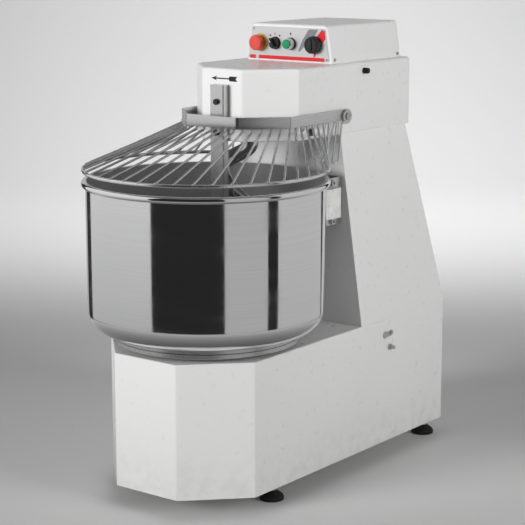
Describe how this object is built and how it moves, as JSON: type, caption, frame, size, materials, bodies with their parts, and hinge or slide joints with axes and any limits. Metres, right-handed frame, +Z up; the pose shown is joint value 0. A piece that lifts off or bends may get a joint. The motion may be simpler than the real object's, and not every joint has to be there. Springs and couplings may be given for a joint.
{
  "type": "spiral dough mixer",
  "caption": "Floor-standing fixed-head spiral dough mixer: turning steel bowl, spiral hook, fixed breaker bar, lifting wire guard, control hood, tapered column on a chamfered base.",
  "frame": {"origin": "centre of the bottom of the whole machine's box, on the floor", "axes": "+Z up, -Y towards the operator and the bowl, +X to the operator's right"},
  "size_m": [0.5199, 0.92, 0.976],
  "materials": {
    "white_paint": "gloss powder coat",
    "polished_steel": "mirror-polished stainless steel",
    "brushed_steel": "brushed stainless steel",
    "bright_wire": "electropolished stainless wire",
    "machined_steel": "turned and ground steel",
    "cast_iron": "painted castings",
    "motor_paint": "grey motor enamel",
    "zinc_steel": "zinc-plated fasteners",
    "belt_rubber": "fabric-backed belt rubber",
    "foot_rubber": "moulded rubber",
    "panel_plate": "light grey fascia plate",
    "black_plastic": "moulded black plastic",
    "grey_plastic": "moulded grey plastic",
    "red_plastic": "gloss red plastic",
    "yellow_plastic": "gloss yellow plastic",
    "green_plastic": "gloss green plastic",
    "white_plastic": "white food-grade plastic",
    "brass": "turned brass"
  },
  "bodies": {
    "frame": {"base_shell": "white_paint", "base_floor_plate": "zinc_steel", "column_shell": "white_paint", "rear_cover": "white_paint", "rear_cover_screws": "zinc_steel", "head_shell": "white_paint", "control_hood": "white_paint", "control_panel": "panel_plate", "panel_screws": "zinc_steel", "estop_collar": "yellow_plastic", "start_bezel": "polished_steel", "control_barrels": "black_plastic", "contact_blocks": "grey_plastic", "electrics_tray": "zinc_steel", "cable_gland": "black_plastic", "breaker_bar": "brushed_steel", "head_bolts": "machined_steel", "steady_brackets": "brushed_steel", "steady_pads": "white_plastic", "guard_bushes": "brass", "guard_bumpers": "foot_rubber", "guard_switch": "grey_plastic", "earth_terminal": "zinc_steel", "motor_plate": "zinc_steel", "motor_housing": "motor_paint", "motor_fan_cover": "motor_paint", "motor_belt": "belt_rubber", "bowl_belt": "belt_rubber", "spiral_belt": "belt_rubber", "bowl_bearing_housing": "cast_iron", "lower_bearings": "machined_steel", "layshaft_bearing_blocks": "cast_iron", "head_bearings": "machined_steel", "spiral_bearing_housing": "cast_iron", "foot_studs": "zinc_steel"},
    "bowl": {"bowl": "polished_steel", "bowl_turntable": "brushed_steel", "bowl_shaft": "machined_steel", "bowl_pulley": "cast_iron"},
    "spiral": {"spiral_hook": "polished_steel", "spiral_shaft": "machined_steel", "spiral_pulley": "cast_iron"},
    "layshaft": {"layshaft": "machined_steel", "layshaft_drive_pulley": "cast_iron", "layshaft_bowl_pulley": "machined_steel", "layshaft_spiral_pulley": "cast_iron"},
    "motor_rotor": {"motor_rotor": "machined_steel", "motor_pulley": "cast_iron"},
    "guard": {"guard_collar": "brushed_steel", "guard_ring": "bright_wire", "guard_wires": "bright_wire", "guard_pins": "machined_steel"},
    "estop_button": {"estop_button": "red_plastic"},
    "start_button": {"start_button": "green_plastic"},
    "selector_knob": {"selector_knob": "black_plastic"},
    "timer_knob": {"timer_knob": "black_plastic"},
    "foot_front_left": {"foot_front_left": "foot_rubber"},
    "foot_front_right": {"foot_front_right": "foot_rubber"},
    "foot_rear_left": {"foot_rear_left": "foot_rubber"},
    "foot_rear_right": {"foot_rear_right": "foot_rubber"}
  },
  "joints": [
    {"name": "bowl_spin", "type": "hinge", "parent": "frame", "child": "bowl", "pos_m": [0, -0.2, 0.3234], "axis": [0, 0, -1], "continuous": true},
    {"name": "spiral_spin", "type": "hinge", "parent": "frame", "child": "spiral", "pos_m": [0, -0.047, 0.744], "axis": [0, 0, -1], "continuous": true},
    {"name": "layshaft_spin", "type": "hinge", "parent": "frame", "child": "layshaft", "pos_m": [0, 0.13, 0.1], "axis": [0, 0, -1], "continuous": true},
    {"name": "motor_spin", "type": "hinge", "parent": "frame", "child": "motor_rotor", "pos_m": [0, 0.34, 0.1], "axis": [0, 0, -1], "continuous": true},
    {"name": "guard_lift", "type": "hinge", "parent": "frame", "child": "guard", "pos_m": [0, 0.1005, 0.7833], "axis": [-1, 0, 0], "range_deg": [0, 118]},
    {"name": "estop_press", "type": "slide", "parent": "frame", "child": "estop_button", "axis": [0, 1, 0], "range_m": [0, 0.005], "stiffness_N_per_m": 1500, "springref_m": -0.004},
    {"name": "start_press", "type": "slide", "parent": "frame", "child": "start_button", "axis": [0, 1, 0], "range_m": [0, 0.003], "stiffness_N_per_m": 900, "springref_m": -0.003},
    {"name": "selector_turn", "type": "hinge", "parent": "frame", "child": "selector_knob", "pos_m": [-0.034, 0.087, 0.9335], "axis": [0, 1, 0], "range_deg": [0, 70]},
    {"name": "timer_turn", "type": "hinge", "parent": "frame", "child": "timer_knob", "pos_m": [0.0725, 0.087, 0.9335], "axis": [0, 1, 0], "range_deg": [0, 300]},
    {"name": "foot_front_left_turn", "type": "hinge", "parent": "frame", "child": "foot_front_left", "pos_m": [-0.161, -0.185, 0], "axis": [0, 0, 1], "continuous": true},
    {"name": "foot_front_right_turn", "type": "hinge", "parent": "frame", "child": "foot_front_right", "pos_m": [0.161, -0.185, 0], "axis": [0, 0, 1], "continuous": true},
    {"name": "foot_rear_left_turn", "type": "hinge", "parent": "frame", "child": "foot_rear_left", "pos_m": [-0.161, 0.411, 0], "axis": [0, 0, 1], "continuous": true},
    {"name": "foot_rear_right_turn", "type": "hinge", "parent": "frame", "child": "foot_rear_right", "pos_m": [0.161, 0.411, 0], "axis": [0, 0, 1], "continuous": true}
  ],
  "couplings": [
    {"joint": "spiral_spin", "follows": "bowl_spin", "ratio": 5.7436},
    {"joint": "layshaft_spin", "follows": "bowl_spin", "ratio": 9.3333},
    {"joint": "motor_spin", "follows": "bowl_spin", "ratio": 56}
  ]
}
